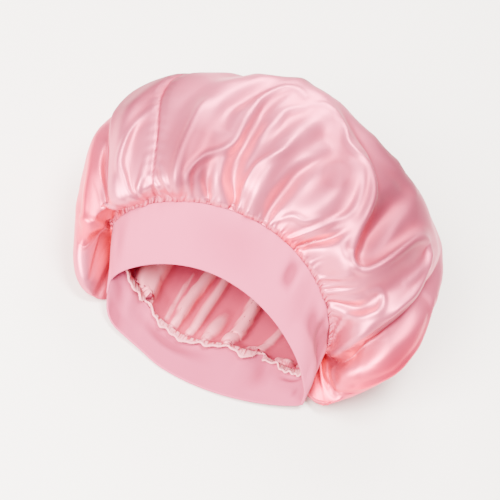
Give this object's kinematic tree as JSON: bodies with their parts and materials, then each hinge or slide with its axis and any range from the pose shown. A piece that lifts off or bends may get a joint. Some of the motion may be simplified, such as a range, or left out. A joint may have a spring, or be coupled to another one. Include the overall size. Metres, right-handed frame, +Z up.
{
  "type": "sleep bonnet",
  "caption": "Puffed satin sleep bonnet lying on its back, its hollow crown gathered into a wide knit headband with an overlocked seam inside.",
  "frame": {"origin": "on the surface it lies on, under the middle of its overall box", "axes": "+Z up from the surface, -Y out of the head opening, +X to the right as seen from the opening"},
  "size_m": [0.3697, 0.3182, 0.1733],
  "materials": {
    "satin": "glossy satin",
    "knit": "matte fine stretch knit",
    "overlock": "overlocked thread edge"
  },
  "bodies": {
    "root": {"crown": "satin", "headband": "knit", "seam_ruffle": "overlock"}
  },
  "joints": []
}
